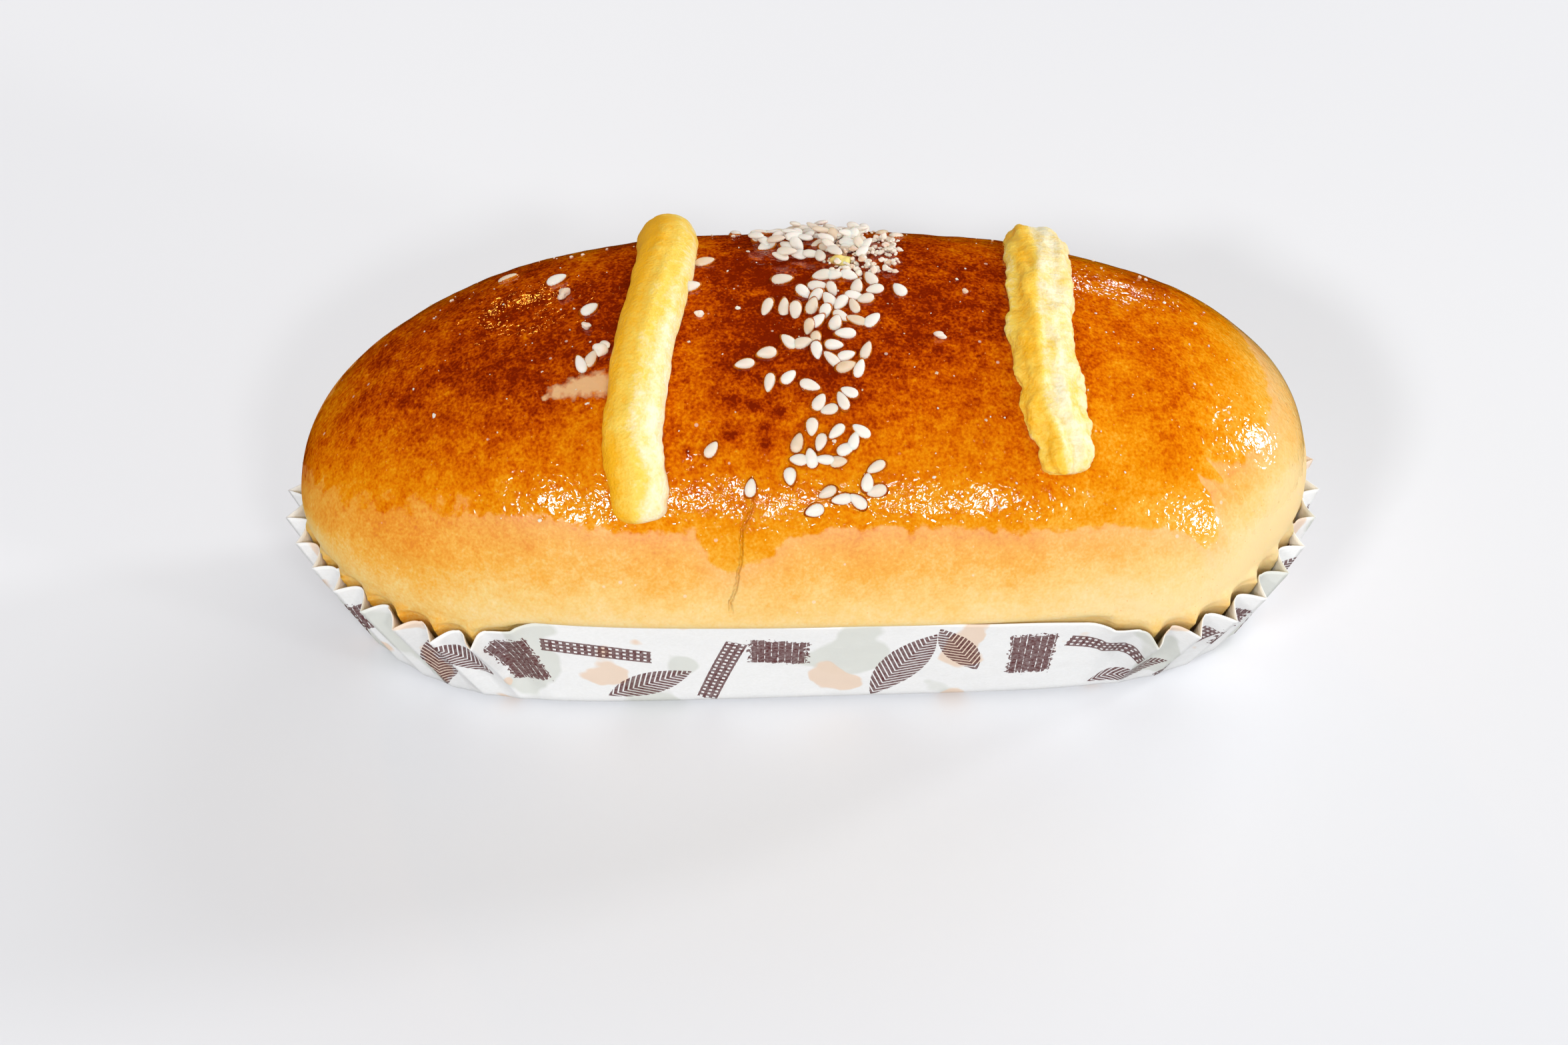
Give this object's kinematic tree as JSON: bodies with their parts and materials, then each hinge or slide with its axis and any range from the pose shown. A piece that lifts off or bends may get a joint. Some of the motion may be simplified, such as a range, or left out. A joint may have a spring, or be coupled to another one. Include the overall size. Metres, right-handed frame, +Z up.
{
  "type": "coconut bun in a paper case",
  "caption": "Long glazed coconut bun with two piped custard strips and a band of sesame seeds, in a pleated paper case.",
  "frame": {"origin": "centre of the flat base of the paper case, on the surface that it stands on", "axes": "+X along the bun, +Y across it towards the back of the picture, +Z up"},
  "size_m": [0.1641, 0.0786, 0.0656],
  "materials": {
    "crust": "glazed egg-washed bread crust, glossy on the crown and satin lower down",
    "custard": "baked piped custard, satin",
    "greaseproof_paper": null
  },
  "bodies": {
    "root": {"bun": "crust", "custard_strip_left": "custard", "custard_strip_right": "custard", "paper_case": "greaseproof_paper"}
  },
  "joints": []
}
